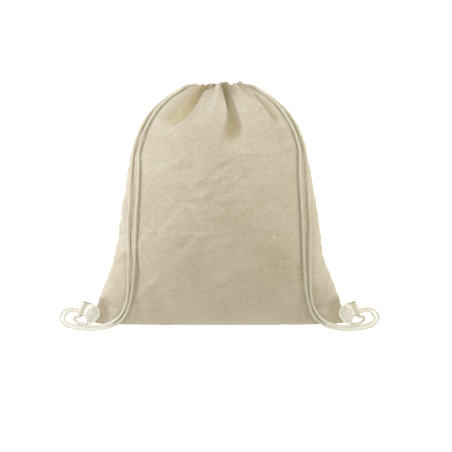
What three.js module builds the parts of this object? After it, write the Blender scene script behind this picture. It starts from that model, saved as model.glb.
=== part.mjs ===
// Drawstring backpack of plain cotton, softly filled, lying on its back with the mouth drawn shut.
// Millimetres. X runs across the bag, Y from its bottom fold to its mouth, Z up from the surface.
// The origin is below the middle of the bag and its two tape loops, on the surface.
import * as THREE from "three";

// Driving sizes of the sewn bag
const CLOTH_HEIGHT = 420;   // bottom fold to mouth, laid flat
const HALF_LENGTH = 181;    // half of the filled bag from bottom fold to mouth
const CLOTH = 1.5;          // cotton, with its hem
const BOTTOM_SEAM = 10;     // the corners are this much narrower inside, where the cloth lies double
const GAP = 0.3;            // left between pieces that touch
const CORD = 4.5;           // round drawcord
const TAPE_WIDTH = 20;      // ribbed cotton tape of the corner loops
const TAPE = 1.4;

// Right corner loop: its middle line from the side seam to the turned-back tip, and the way across it
const TAPE_LOOP = {
  root: [184.7 + GAP, -162, 6.9],
  tip: [203.5, -155.6, 13],
  rootAcross: [-0.13, 0.99, 0],
  tipAcross: [-0.39, 0.92, 0],
  opening: CORD + 4 * GAP,
  swell: 0.42,              // share of its length over which it opens to hold the cord
  rib: 0.25,
};

// Right knot: a flat round bundle with a raised rim, tilted outward
const KNOT = { radius: 13.4, rim: 2.4, halfHeight: 4, tilt: 13, at: [190.4, -163.2, 18.6] };

// Side seam of the filled bag, from the bottom corner to the mouth: x out, y up, z above the surface
const SIDE_SEAM = [
  [186, -175.5, 6.5], [184.5, -163, 7], [182.3, -149, 9.5], [173.6, -128.4, 22], [164.5, -104, 33],
  [156.6, -83.8, 39], [147.7, -24.5, 46], [138, 34.9, 47], [130.6, 79.4, 47], [123.6, 101.5, 47],
  [114, 122, 47], [105, 131.8, 46.5], [91.5, 142, 46], [78.5, 153, 46], [62, 164.2, 46],
  [52, 169.6, 46], [46, 174.4, 46], [33, 177.4, 46],
];
// Middle of the front and of the back, from the bottom fold to the mouth: y up, z above the surface
const FRONT_LINE = [
  [-181, 24], [-176, 40], [-163, 60], [-140, 82], [-105, 104], [-60, 121], [-10, 129], [40, 127],
  [85, 116], [120, 101], [140, 88], [155, 73], [165, 63], [173, 59], [HALF_LENGTH, 58],
];
const BACK_LINE = [
  [-181, 24], [-177, 10], [-168, 2], [-152, 0], [-60, 0], [30, 0], [108, 0], [134, 5], [152, 18],
  [163, 29], [171, 33.5], [HALF_LENGTH, 34],
];

// Each bottom corner is pressed flat under its knot, and fills out beyond that
const CORNER = { x: 186, y: -166, z: 9.5, flat: 12, reach: 36 };

// How square the sections are, by height on the cloth: 1 is an ellipse, less is fuller, more is leaner.
// flat is how far the back overshoots the surface before it is pressed flat on it.
const FULLNESS = [
  { at: 0, front: 0.75, back: 0.75, rise: 0.5, flat: 1 },
  { at: 25, front: 1, back: 0.5, rise: 0.6, flat: 1.08 },
  { at: 67, front: 1, back: 0.42, rise: 1, flat: 1.12 },
  { at: 361, front: 0.95, back: 0.45, rise: 1, flat: 1.05 },
  { at: 399, front: 0.75, back: 0.6, rise: 1, flat: 1 },
  { at: CLOTH_HEIGHT, front: 0.55, back: 0.55, rise: 1, flat: 1 },
];

// Pleats of the drawn mouth: valleys across the front and the back, -1 left seam to 1 right seam
const FRONT_VALLEYS = [-1, -0.62, -0.27, 0.09, 0.39, 0.72, 1];
const BACK_VALLEYS = [-1, -0.66, -0.3, 0.05, 0.42, 0.76, 1];
const PLEAT_DEPTH = 4;
const PLEATS_LENGTH = 92;   // from the mouth down the cloth
const MOUTH_SHIFT = 3;      // the gathered mouth sits a little to the right

// The gathered rim's edge: how far it drops below its smooth arc, from left seam -1 to right seam 1
const RIM = [
  { across: -1, drop: 1.5 }, { across: -0.7, drop: 2.9 }, { across: -0.32, drop: 2.4 },
  { across: -0.2, drop: 4 }, { across: -0.06, drop: 2 }, { across: 0.2, drop: 0 },
  { across: 0.46, drop: 5 }, { across: 0.62, drop: 1.8 }, { across: 0.8, drop: -0.2 },
  { across: 1, drop: -0.8 },
];
const RIM_LENGTH = 26;      // the drop fades out this far down the cloth

// Folds of the front, as lines seen from above: amount is outward, width is to either side
const FRONT_FOLDS = [
  { name: "left crest", amount: 4, width: 8, line: [[-16, 171], [-36, 142], [-48, 122], [-76, 100]] },
  { name: "left hollow", amount: -8, width: 12, line: [[-28, 171], [-49, 138], [-82, 116]] },
  { name: "right crest", amount: 3, width: 9, line: [[35, 171], [44, 161], [57, 145], [71, 129], [87, 111]] },
  { name: "right hollow", amount: -5.5, width: 10, line: [[48, 168], [58, 156], [74, 138], [92, 118]] },
  { name: "middle hollow", amount: -5, width: 8, line: [[9, 172], [13, 155], [16, 138], [17.5, 112]] },
  { name: "left low fold", amount: -2.5, width: 8, line: [[-121, -96], [-119, -160]] },
  { name: "right low fold", amount: -3, width: 7, line: [[116, -92], [121, -150]] },
  { name: "left pinch", amount: -4.5, width: 6, line: [[-184, -149], [-166, -152], [-146, -157]] },
  { name: "right pinch", amount: -4.5, width: 6, line: [[184, -149], [166, -152], [146, -157]] },
];
const CORD_FURROW = { amount: -2, width: 6 };

// Soft unevenness of the filling, each wave with its length over a full turn in radians
const FRONT_WAVE = {
  across: { amount: 0.8, length: 23, shift: 1.3 },
  along: { amount: 1, length: 31, shift: 0.4 },
  slanting: { amount: 0.6, length: 17, shift: 0 },
};
const BACK_WAVE = {
  across: { amount: 1.2, length: 19, shift: 0.6 },
  along: { amount: 1, length: 27, shift: 1.1 },
  rise: [1, 8],             // heights above the surface between which the back's unevenness sets in
};

// Routes of the drawcords on the right side, mirrored for the left: out of the casing, down the front,
// past the corner, round the loop on the surface and under the tape to the knot
const INNER_CORD = [
  [50.4, 173.2, 49], [58, 168.2, 50], [68, 161.6, 51.8], [80, 152, 54.6], [91.5, 140.2, 58.6],
  [101.8, 124, 69], [112.5, 102, 73.3], [118.3, 79, 78.3], [119.3, 40, 89.5], [121, 5, 91.6],
  [123.3, -30, 89.9], [124.3, -70, 84.7], [126.5, -105, 75.5], [129, -130, 64], [132.5, -147, 54],
  [137.5, -162, 42], [146, -173.5, 29.4], [157, -181, 20], [171, -185.8, 11], [185, -187.8, 5],
  [200, -187.8, 2.6], [218, -185.6, 2.6], [231, -180.5, 2.6], [237.3, -172.5, 2.6], [236.3, -164.5, 3.4],
  [230.5, -158.5, 5.8], [222.5, -156, 7.5], [215.5, -156.2, 7.2], [210, -156.8, 5], [204, -158.2, 2.8],
  [198, -160.6, 2.6], [193.2, -165, 2.4], [191.4, -170.6, 2.4], [191.2, -175, 3.2], [191.2, -175.9, 7.6],
  [191.2, -175.4, 12.5],
];
const OUTER_CORD = [
  [50.6, 174.4, 43.4], [56.5, 171, 43.4], [63.5, 166.6, 43.4], [73, 160.4, 43.5], [84.2, 152, 44],
  [95, 142.6, 47], [107.2, 128, 57.6], [119.8, 102, 63.9], [126.5, 79, 66.3], [130.5, 40, 75.9],
  [132, 5, 80.2], [134.2, -30, 79.7], [133.6, -70, 77.7], [134, -105, 71.8], [134.8, -130, 62],
  [137.3, -146.1, 53.5], [142.2, -158.6, 41.6], [150, -169.5, 31], [160.5, -177.2, 23], [173.5, -181.6, 14],
  [187, -183.1, 5], [201, -182.9, 2.6], [216.5, -180.8, 2.6], [227.8, -176.4, 2.6], [231.8, -171.4, 2.6],
  [229.6, -166, 2.6], [225.3, -161.2, 2.6], [219.5, -160, 2.6], [213, -161, 2.6], [206.5, -162.8, 2.6],
  [200.5, -165.6, 2.6], [197.2, -169.8, 2.8], [196.4, -172.8, 6.5], [196.3, -173.8, 14.4],
];
// The knot's own small loop, from the knot's lower rim into the tape loop, caught in its seam
const LOOP_CORD = [
  [194.8, -178.1, 18], [199, -178.6, 17], [206, -178.3, 13.5], [212.6, -176, 10.8], [215.9, -172, 10.6],
  [215.1, -168.8, 11.4], [212.2, -167.9, 12.5], [208.4, -168, 12.9], [205, -165.6, 12.4],
  [201.8, -161.5, 11.8], [197, -158.8, 10.6],
];

const material = (name, color, roughness) =>
  new THREE.MeshStandardMaterial({ name, color, roughness, metalness: 0 });
const cotton = material("cotton", 0xcfc4ac, 0.95);
const cordCotton = material("cord", 0xddd4be, 0.9);
const tapeCotton = material("tape", 0xe0dac6, 0.92);

const clamp = (x, low, high) => Math.min(high, Math.max(low, x));
const mix = (a, b, t) => a + (b - a) * t;
const smooth = (from, to, x) => THREE.MathUtils.smoothstep(x, from, to);

const seamCurve = new THREE.CatmullRomCurve3(SIDE_SEAM.map((p) => new THREE.Vector3(...p)));
const midCurve = (line) => new THREE.CatmullRomCurve3(line.map(([y, z]) => new THREE.Vector3(0, y, z)));
const frontCurve = midCurve(FRONT_LINE);
const backCurve = midCurve(BACK_LINE);

// One column of the fullness table, read between its rows, at share v of the cloth's height
function fullness(v, column) {
  const height = v * CLOTH_HEIGHT;
  const next = FULLNESS.findIndex((row) => row.at >= height);
  if (next < 1) return FULLNESS[0][column];
  const [low, high] = [FULLNESS[next - 1], FULLNESS[next]];
  return mix(low[column], high[column], smooth(low.at, high.at, height));
}

// A point of one of the bag's lines, moved by depth to the line's inner side
function inset(curve, v, depth, inwardOf) {
  const inward = inwardOf(curve.getTangentAt(v)).normalize();
  return curve.getPointAt(v).addScaledVector(inward, depth);
}
const inwardOfSeam = (t) => new THREE.Vector3(-t.y, t.x, 0);
const inwardOfFront = (t) => new THREE.Vector3(0, t.z, -t.y);
const inwardOfBack = (t) => new THREE.Vector3(0, -t.z, t.y);

// The smooth bag: angle 0 is the right seam, half a turn the left, the front between them
function smoothBag(angle, v, depth) {
  const across = Math.cos(angle);
  const bulge = Math.abs(Math.sin(angle));
  const front = Math.sin(angle) >= 0;
  const seamDepth = depth === 0 ? 0 : depth + BOTTOM_SEAM * (1 - smooth(0, 0.2, v));
  const seam = inset(seamCurve, v, seamDepth, inwardOfSeam);
  const [middleCurve, inwardOfMiddle] = front ? [frontCurve, inwardOfFront] : [backCurve, inwardOfBack];
  const middle = inset(middleCurve, v, depth, inwardOfMiddle);
  const swell = front
    ? bulge ** fullness(v, "front")
    : Math.min(1, fullness(v, "flat") * bulge ** fullness(v, "back"));
  return new THREE.Vector3(
    seam.x * across + MOUTH_SHIFT * smooth(0.8, 1, v) * bulge,
    mix(seam.y, middle.y, bulge ** fullness(v, "rise")),
    mix(seam.z, middle.z, swell),
  );
}

function smoothNormal(angle, v) {
  const step = 0.004;
  const v0 = clamp(v - step, 0, 1);
  const v1 = clamp(v + step, 0, 1);
  const along = smoothBag(angle, v1, 0).sub(smoothBag(angle, v0, 0));
  const round = smoothBag(angle + step, v, 0).sub(smoothBag(angle - step, v, 0));
  return round.cross(along).negate().normalize();
}

// Distance from a point seen from above to a bent line
function distanceToLine(x, y, line) {
  let best = Infinity;
  for (let i = 0; i + 1 < line.length; i++) {
    const [ax, ay] = line[i];
    const [dx, dy] = [line[i + 1][0] - ax, line[i + 1][1] - ay];
    const t = clamp(((x - ax) * dx + (y - ay) * dy) / (dx * dx + dy * dy), 0, 1);
    best = Math.min(best, Math.hypot(x - ax - t * dx, y - ay - t * dy));
  }
  return best;
}

const soft = (distance, width) => Math.exp(-((distance / width) ** 2));

function pleat(across, valleys) {
  const q = clamp(across, -0.9999, 0.9999);
  const next = valleys.findIndex((valley) => valley > q);
  const t = (q - valleys[next - 1]) / (valleys[next] - valleys[next - 1]);
  return 1 - 2 * Math.abs(Math.cos(Math.PI * t)) ** 1.5;
}

const wave = (distance, { amount, length, shift }) => amount * Math.sin(distance / length + shift);

// The stretches of the cords that press into the front
const FURROWS = [INNER_CORD.slice(4, 18), OUTER_CORD.slice(6, 19)];

// How far the cloth stands out from, or in from, the smooth bag
function relief(angle, v, point) {
  const front = Math.sin(angle) >= 0;
  const across = Math.cos(angle);
  const atMouth = smooth(1 - PLEATS_LENGTH / CLOTH_HEIGHT, 1, v) ** 1.4;
  const nearSeam = smooth(0.75, 1, Math.abs(across));
  const gather = PLEAT_DEPTH * atMouth * mix(1, 0.15, nearSeam);
  let out = gather * pleat(across, front ? FRONT_VALLEYS : BACK_VALLEYS);
  const { x, y } = point;
  if (front) {
    for (const fold of FRONT_FOLDS) out += fold.amount * soft(distanceToLine(x, y, fold.line), fold.width);
    const furrow = FURROWS.map((line) => soft(distanceToLine(Math.abs(x), y, line), CORD_FURROW.width));
    out += CORD_FURROW.amount * Math.max(...furrow);
    out += wave(x, FRONT_WAVE.across) * wave(y, FRONT_WAVE.along) + wave(x + y, FRONT_WAVE.slanting);
  } else {
    const offSurface = smooth(...BACK_WAVE.rise, point.z);
    out += wave(x, BACK_WAVE.across) * wave(y, BACK_WAVE.along) * offSurface;
  }
  return out * smooth(0, 0.05, v) * mix(1, 0.35, smooth(0.97, 1, Math.abs(across)));
}

// How far the rim drops at one place across the mouth
function rimDrop(across) {
  const next = Math.max(1, RIM.findIndex((row) => row.across >= across - 1e-9));
  const [from, to] = [RIM[next - 1], RIM[next]];
  return mix(from.drop, to.drop, (across - from.across) / (to.across - from.across));
}

function bagPoint(angle, v, depth) {
  const point = smoothBag(angle, v, depth);
  const outside = smoothBag(angle, v, 0);
  point.addScaledVector(smoothNormal(angle, v), relief(angle, v, outside));
  if (Math.sin(angle) >= 0) {
    const fromCorner = Math.hypot(Math.abs(point.x) - CORNER.x, point.y - CORNER.y);
    const pressed = Math.min(point.z, CORNER.z - depth);
    point.z = mix(pressed, point.z, smooth(CORNER.flat, CORNER.reach, fromCorner));
  }
  point.z = Math.max(point.z, depth);
  point.y -= rimDrop(Math.cos(angle)) * smooth(1 - RIM_LENGTH / CLOTH_HEIGHT, 1, v);
  point.y = Math.min(point.y, HALF_LENGTH);
  return point;
}

// A closed body from its points and triangles
function bodyFrom(points, triangles) {
  const geometry = new THREE.BufferGeometry();
  geometry.setAttribute("position", new THREE.Float32BufferAttribute(points.flatMap((p) => p.toArray()), 3));
  geometry.setIndex(triangles.flat());
  geometry.computeVertexNormals();
  return geometry;
}

// The bag is one cloth: an outer and an inner face, joined round the rim of the mouth
function bagGeometry() {
  const columns = 72;
  const rows = 27;
  const innerFloor = 6 / CLOTH_HEIGHT;
  const heights = Array.from({ length: rows }, (_, i) => {
    const t = i / (rows - 1);
    return mix(t, 0.5 - 0.5 * Math.cos(Math.PI * t), 0.55);
  });
  const points = [];
  const triangles = [];
  const angleOf = (j) => (2 * Math.PI * j) / columns;
  const addRow = (v, depth) => {
    const start = points.length;
    for (let j = 0; j < columns; j++) points.push(bagPoint(angleOf(j), v, depth));
    return (j) => start + (j % columns);
  };
  const addFold = () => {
    const start = points.length;
    for (let j = 0; j <= columns / 2; j++) points.push(bagPoint(angleOf(j), 0, 0));
    return (j) => start + Math.min(j % columns, columns - (j % columns));
  };
  const join = (low, high) => {
    for (let j = 0; j < columns; j++) {
      triangles.push([low(j), high(j + 1), low(j + 1)], [low(j), high(j), high(j + 1)]);
    }
  };
  const outer = [addFold(), ...heights.slice(1).map((v) => addRow(v, 0))];
  const inner = heights.slice(1).reverse().map((v) => addRow(v, CLOTH));
  inner.push(addRow(innerFloor, CLOTH));
  const rings = [...outer, ...inner];
  for (let i = 0; i + 1 < rings.length; i++) join(rings[i], rings[i + 1]);
  const floor = rings[rings.length - 1];
  for (let j = 0; j < columns / 2; j++) {
    const [a, b] = [floor(j), floor(j + 1)];
    const [c, d] = [floor(columns - j), floor(columns - j - 1)];
    if (b !== d) triangles.push([a, d, b]);
    if (a !== c) triangles.push([a, c, d]);
  }
  const used = triangles.filter(([a, b, c]) => a !== b && b !== c && a !== c);
  return bodyFrom(points, used);
}

// A tape folded into a flat loop: it leaves the seam, turns back at the tip and returns to the seam
function tapeGeometry(side) {
  const [root, tip, rootAcross, tipAcross] = ["root", "tip", "rootAcross", "tipAcross"].map(
    (key) => new THREE.Vector3(...TAPE_LOOP[key]),
  );
  const steps = 6;
  const bends = 6;
  const ribs = 10;
  const turn = (TAPE_LOOP.opening + TAPE) / 2;
  const closed = TAPE / 2 + 0.02;
  // Middle line of one layer: distance along from seam to tip, and height from the middle of the loop
  const path = [];
  for (let i = 0; i <= steps; i++) {
    const t = i / steps;
    path.push({ along: t, lift: -mix(closed, turn, smooth(0, TAPE_LOOP.swell, t)) });
  }
  for (let i = 1; i < bends; i++) {
    const a = (Math.PI * i) / bends - Math.PI / 2;
    path.push({ along: 1 + (Math.cos(a) * turn) / root.distanceTo(tip), lift: Math.sin(a) * turn });
  }
  for (let i = steps; i >= 0; i--) path.push({ along: path[i].along, lift: -path[i].lift });
  const middles = path.map(({ along, lift }) => {
    const m = root.clone().lerp(tip, along);
    m.z += lift;
    return m;
  });
  const points = [];
  for (let i = 0; i < path.length; i++) {
    const before = middles[Math.max(0, i - 1)];
    const after = middles[Math.min(middles.length - 1, i + 1)];
    const forward = after.clone().sub(before).normalize();
    const across = rootAcross.clone().lerp(tipAcross, clamp(path[i].along, 0, 1)).normalize();
    const out = forward.clone().cross(across).normalize();
    for (const face of [1, -1]) {
      for (let k = 0; k <= ribs; k++) {
        const q = face > 0 ? k / ribs - 0.5 : 0.5 - k / ribs;
        const rib = face > 0 && k % 2 ? TAPE_LOOP.rib : 0;
        const p = middles[i].clone().addScaledVector(across, q * TAPE_WIDTH);
        points.push(p.addScaledVector(out, face * (TAPE / 2) + face * rib));
      }
    }
  }
  const ring = 2 * (ribs + 1);
  const triangles = [];
  for (let i = 0; i + 1 < path.length; i++) {
    for (let k = 0; k < ring; k++) {
      const [a, b] = [i * ring + k, i * ring + ((k + 1) % ring)];
      const [c, d] = [a + ring, b + ring];
      triangles.push([a, b, d], [a, d, c]);
    }
  }
  const last = (path.length - 1) * ring;
  for (let k = 0; k < ribs; k++) {
    const opposite = ring - 1 - k;
    triangles.push([k, opposite, k + 1], [k + 1, opposite, opposite - 1]);
    const [a, b, c, d] = [k, k + 1, opposite, opposite - 1].map((i) => last + i);
    triangles.push([a, b, c], [b, d, c]);
  }
  return sided(bodyFrom(points, triangles), side);
}

// Mirrors a right-hand body to the left, and turns its faces out
function sided(geometry, side) {
  const flip = signedVolume(geometry) < 0;
  if (side < 0) geometry.scale(-1, 1, 1);
  if (flip !== (side < 0)) {
    const index = geometry.index.array;
    for (let i = 0; i < index.length; i += 3) [index[i], index[i + 1]] = [index[i + 1], index[i]];
  }
  geometry.computeVertexNormals();
  return geometry;
}

function signedVolume(geometry) {
  const position = geometry.attributes.position;
  const corner = (i) => new THREE.Vector3().fromBufferAttribute(position, geometry.index.array[i]);
  let volume = 0;
  for (let i = 0; i < geometry.index.count; i += 3) {
    volume += corner(i).dot(corner(i + 1).cross(corner(i + 2))) / 6;
  }
  return volume;
}

// A cord is a round tube along its route
function cordGeometry(route, side) {
  const curve = new THREE.CatmullRomCurve3(route.map(([x, y, z]) => new THREE.Vector3(side * x, y, z)));
  const section = new THREE.Shape();
  const sides = 8;
  for (let i = 0; i <= sides; i++) {
    const a = (2 * Math.PI * i) / sides;
    const [x, y] = [Math.cos(a) * CORD / 2, Math.sin(a) * CORD / 2];
    if (i === 0) section.moveTo(x, y);
    else section.lineTo(x, y);
  }
  const steps = Math.round(curve.getLength() / (2.5 * CORD));
  return new THREE.ExtrudeGeometry(section, { steps, extrudePath: curve, curveSegments: 1 });
}

// The knot is a flat round bundle: a raised turn of cord round its rim and a lumpy middle
function knotGeometry(side) {
  const { radius, rim, halfHeight, tilt, at } = KNOT;
  const profile = [];
  for (let i = 0; i <= 8; i++) {
    const a = -Math.PI / 2 + (Math.PI * i) / 8;
    profile.push(new THREE.Vector2(radius - rim + rim * Math.cos(a), halfHeight * Math.sin(a)));
  }
  const bottom = [new THREE.Vector2(0, -3.4), new THREE.Vector2(5.5, -3.7)];
  const top = [new THREE.Vector2(8, 2.9), new THREE.Vector2(4, 3.9), new THREE.Vector2(0, 3.5)];
  const geometry = new THREE.LatheGeometry([...bottom, ...profile, ...top], 32);
  geometry.rotateX(Math.PI / 2);
  geometry.rotateY(THREE.MathUtils.degToRad(side * -tilt));
  geometry.translate(side * at[0], at[1], at[2]);
  return geometry;
}

const backpack = new THREE.Group();
function add(name, geometry, finish) {
  const mesh = new THREE.Mesh(geometry, finish);
  mesh.name = name;
  backpack.add(mesh);
}

add("bag_body", bagGeometry(), cotton);
for (const [word, side] of [["left", -1], ["right", 1]]) {
  add(`tape_loop_${word}`, tapeGeometry(side), tapeCotton);
  add(`cord_inner_${word}`, cordGeometry(INNER_CORD, side), cordCotton);
  add(`cord_outer_${word}`, cordGeometry(OUTER_CORD, side), cordCotton);
  add(`cord_loop_${word}`, cordGeometry(LOOP_CORD, side), cordCotton);
  add(`knot_${word}`, knotGeometry(side), cordCotton);
}

export default backpack;
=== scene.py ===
"""Looks of a drawstring backpack of undyed cotton, lying on its back with its mouth drawn shut.

Lengths in the tables are millimetres in the part's frame; MM turns them into metres.
X runs across the bag, Y from its bottom fold to its mouth, Z up from the floor.
In the functions v is the height on the flat cloth, 0 at the bottom fold and 1 at the rim, and across is
-1 at the left side seam and 1 at the right one.
"""

import math

import bpy
import numpy as np
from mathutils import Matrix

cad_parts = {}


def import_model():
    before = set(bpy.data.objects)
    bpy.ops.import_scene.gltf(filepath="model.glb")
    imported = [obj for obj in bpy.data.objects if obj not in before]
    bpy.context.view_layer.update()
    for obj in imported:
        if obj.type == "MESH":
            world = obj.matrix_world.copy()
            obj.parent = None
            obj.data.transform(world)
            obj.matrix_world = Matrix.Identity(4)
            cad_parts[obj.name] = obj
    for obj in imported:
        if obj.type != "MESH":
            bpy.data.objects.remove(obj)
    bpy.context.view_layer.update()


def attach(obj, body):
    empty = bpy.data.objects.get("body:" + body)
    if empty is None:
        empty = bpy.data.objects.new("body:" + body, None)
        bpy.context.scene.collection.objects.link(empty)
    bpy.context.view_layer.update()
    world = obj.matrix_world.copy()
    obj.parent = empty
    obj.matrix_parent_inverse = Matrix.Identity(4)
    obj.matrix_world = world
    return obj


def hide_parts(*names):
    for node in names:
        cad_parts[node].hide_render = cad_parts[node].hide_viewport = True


MM = 0.001
SIDES = (("left", -1), ("right", 1))
ROUNDING = 1e-9
TINY = 1e-12
SPAN_POINTS = 40            # of a smooth line, between two of the points that it is drawn through

# The photograph: width in pixels, scale at the bag's outline, and the pixel of the frame's origin
PHOTO_WIDTH = 452
MM_PER_PIXEL = 1.484
ORIGIN_PIXEL = (219.3, 203.5)
OUTLINE_HEIGHT = 45
CAMERA_HEIGHT = 9000
CAMERA_SEES_TO = 100        # metres

# Driving sizes of the sewn bag, as in the part
CLOTH_HEIGHT = 420
CLOTH_WIDTH = 380
HEM = 30
HALF_LENGTH = 181
CLOTH = 1.5
CORD = 4.5
GAP = 0.3
TAPE_WIDTH = 20
TAPE = 1.4

# Side seam from the bottom corner to the mouth: x out, y up, z above the floor
SIDE_SEAM = [
    (186, -175.5, 6.5), (184.5, -163, 7), (182.3, -149, 9.5), (173.6, -128.4, 22), (164.5, -104, 33),
    (156.6, -83.8, 39), (147.7, -24.5, 46), (138, 34.9, 47), (130.6, 79.4, 47), (123.6, 101.5, 47),
    (114, 122, 47), (105, 131.8, 46.5), (91.5, 142, 46), (78.5, 153, 46), (62, 164.2, 46),
    (52, 169.6, 46), (46, 174.4, 46), (33, 177.4, 46),
]
# Middle of the front and of the back, from the bottom fold to the mouth: y up, z above the floor
FRONT_LINE = [
    (-181, 24), (-176, 40), (-163, 60), (-140, 82), (-105, 104), (-60, 121), (-10, 129), (40, 127),
    (85, 116), (120, 101), (140, 88), (155, 73), (165, 63), (173, 59), (HALF_LENGTH, 58),
]
BACK_LINE = [
    (-181, 24), (-177, 10), (-168, 2), (-152, 0), (-60, 0), (30, 0), (108, 0), (134, 5), (152, 18),
    (163, 29), (171, 33.5), (HALF_LENGTH, 34),
]
# The bottom corner, pressed flat under the knot: wholly up to flat from its point, no more from reach on
CORNER = {"x": 186, "y": -166, "z": 9.5, "flat": 12, "reach": 36}
# How much further in the inside lies beside the bottom seam, and the height on the cloth where that ends
BOTTOM_SEAM = {"depth": 10, "ends": 0.2}

# How square the sections are, by height on the cloth
FULLNESS = [
    {"at": 0, "front": 0.75, "back": 0.75, "rise": 0.5, "flat": 1},
    {"at": 25, "front": 1, "back": 0.5, "rise": 0.6, "flat": 1.08},
    {"at": 67, "front": 1, "back": 0.42, "rise": 1, "flat": 1.12},
    {"at": 361, "front": 0.95, "back": 0.45, "rise": 1, "flat": 1.05},
    {"at": 399, "front": 0.75, "back": 0.6, "rise": 1, "flat": 1},
    {"at": CLOTH_HEIGHT, "front": 0.55, "back": 0.55, "rise": 1, "flat": 1},
]

# Pleats of the drawn mouth: valleys across the front and the back, -1 left seam to 1 right seam
FRONT_VALLEYS = [-1, -0.62, -0.27, 0.09, 0.39, 0.72, 1]
BACK_VALLEYS = [-1, -0.66, -0.3, 0.05, 0.42, 0.76, 1]
# They deepen by the power onset toward the rim and flatten from near_seam on to a share of their depth
PLEATS = {
    "depth": 4, "length": 92, "onset": 1.4, "sharpness": 1.5, "near_seam": 0.75, "seam_share": 0.15,
}
MOUTH_SHIFT = {"x": 3, "from": 0.8}     # how far the mouth lies to the right, and where that starts
# Slow waves of the cloth. Here and below a wave's length is its real one divided by 2 pi.
FRONT_WAVE = {"height": 0.8, "across": 23, "across_shift": 1.3, "along": 31, "along_shift": 0.4}
BACK_WAVE = {"height": 1.2, "across": 19, "across_shift": 0.6, "along": 27, "along_shift": 1.1}
SLANTED_WAVE = {"height": 0.6, "length": 17}
OFF_FLOOR = (1, 8)          # heights between which the cloth leaves the floor that keeps it flat
FOLD_STIFF_TO = 0.05        # height on the cloth up to which the bottom fold holds it smooth
SEAM_STIFFNESS = {"from": 0.97, "share": 0.35}      # the share of the relief left at the side seams

# Folds of the front, seen from above: amount is outward, width is to either side
FRONT_FOLDS = [
    {"amount": -1.6, "width": 9, "line": [(-121, -104), (-119, -160)]},
    {"amount": -2.2, "width": 7, "line": [(116, -98), (121, -150)]},
    {"amount": -4.5, "width": 6, "line": [(-184, -149), (-166, -152), (-146, -157)]},
    {"amount": -4.5, "width": 6, "line": [(184, -149), (166, -152), (146, -157)]},
]
CORD_FURROW = {"amount": -2, "width": 6}

# Sharp folds that run down from the drawn mouth. Each has a raised edge along its line and drops away
# from it on one side: dark is that side, +1 to the left of someone walking down the line, -1 to the right
CRESTS = [
    {
        "dark": -1, "rise": 4.5, "back": 15, "drop": 14, "widths": (5, 11, 16), "fade": 0.74,
        "line": [
            (-11.5, 171.8), (-21.5, 160.6), (-32.5, 142.5), (-45.7, 123.9), (-59.8, 115), (-76.1, 100.2),
        ],
    },
    {
        "dark": 1, "rise": 4.5, "back": 12, "drop": 13, "widths": (4, 6.5, 8), "fade": 0.78,
        "line": [(38, 171.4), (48, 161), (60.5, 145.3), (73, 129.4), (87.1, 111.1)],
    },
    {
        "dark": 1, "rise": 2, "back": 9, "drop": 11, "widths": (3, 7, 12), "fade": 0.55,
        "line": [(4, 172), (8.5, 156.7), (11.5, 138.8), (10, 123.9), (6.5, 107.6), (3, 90), (0, 74)],
    },
    {
        "dark": -1, "rise": 4, "back": 12, "drop": 7, "widths": (2.5, 5.5, 11), "fade": 0.55,
        "line": [(15.6, 171.5), (19.5, 161), (25.5, 144.7), (31, 129.8), (35, 115), (37, 97), (38, 78)],
    },
]
CREST_STATIONS = (0, 0.45, 1)   # shares of a crest's line at which its widths are given
CREST_EDGE = 2.2                # how wide its rounded edge is on the dark side
CRESTS_END = (0.8, 0.97)        # between these shares of the way to a side seam they run out
PAINTED_FOLD_SHADE_DEPTHS = (2, 12)             # depths of a fold between which painted shade turns its cloth darker and yellower

# Small ruffles of the rim: x of each between the front's larger pleats, and a rippling row on the back
RUFFLES = [-16.2, -12.6, -9.8, -6.4, -1.5, 10.6, 22.3, 29, 34]
RUFFLE = {"depth": 1.6, "width": 1.3, "length": 13}
BACK_RUFFLES = {
    "mean": 0.7, "share": 0.4, "length": 2.1, "sway": 1.5, "sway_length": 6.3, "shift": 0,
    "slow_share": 0.3, "slow_length": 4.7,
}

# Soft creases of the worn cloth, strewn over the bag: lengths and widths are half of each crease's, and
# they end between two heights on the cloth
CREASES = {
    "seed": 11, "count": 240, "x": (-170, 170), "y": (-172, 150), "slant": (-25, 60),
    "length": (7, 24), "width": (3, 6.5), "height": (-1.5, 1.5), "ends": (0.82, 0.88),
}

# Fine wrinkles: two pairs of crossing waves, each of which sways to and fro. A slant turns a wave's run.
WRINKLES = {
    "across": {"length": 6.1, "sway": 2.2, "sway_length": 37, "shift": 0},
    "along": {"length": 8.3, "sway": 1.4, "sway_length": 29, "shift": 1},
    "slanted": {"length": 9.7, "sway": 1.2, "sway_length": 17, "shift": 0},
    "crossing": {"length": 21, "sway": 0, "sway_length": 17, "shift": 0},
}
WRINKLE_HEIGHTS = {"square": 0.22, "slanted": 0.18}
WRINKLE_SLANTS = {"slanted": 1.7, "crossing": -0.4}
PUCKERS = {
    "height": 0.25, "near_seam": (0.93, 0.995), "length": 3.1, "sway": 1.7, "sway_length": 23, "shift": 0,
}

# The gathered rim: how far it drops below its smooth arc, from the left seam -1 to the right seam 1
RIM = [
    (-1, 1.5), (-0.7, 2.9), (-0.32, 2.4), (-0.2, 4), (-0.06, 2), (0.2, 0), (0.46, 5), (0.62, 1.8),
    (0.8, -0.2), (1, -0.8),
]
RIM_LENGTH = 26
RIM_ROLL = 0.7              # how far the cloth's edge bulges up between its outside and its inside

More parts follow.
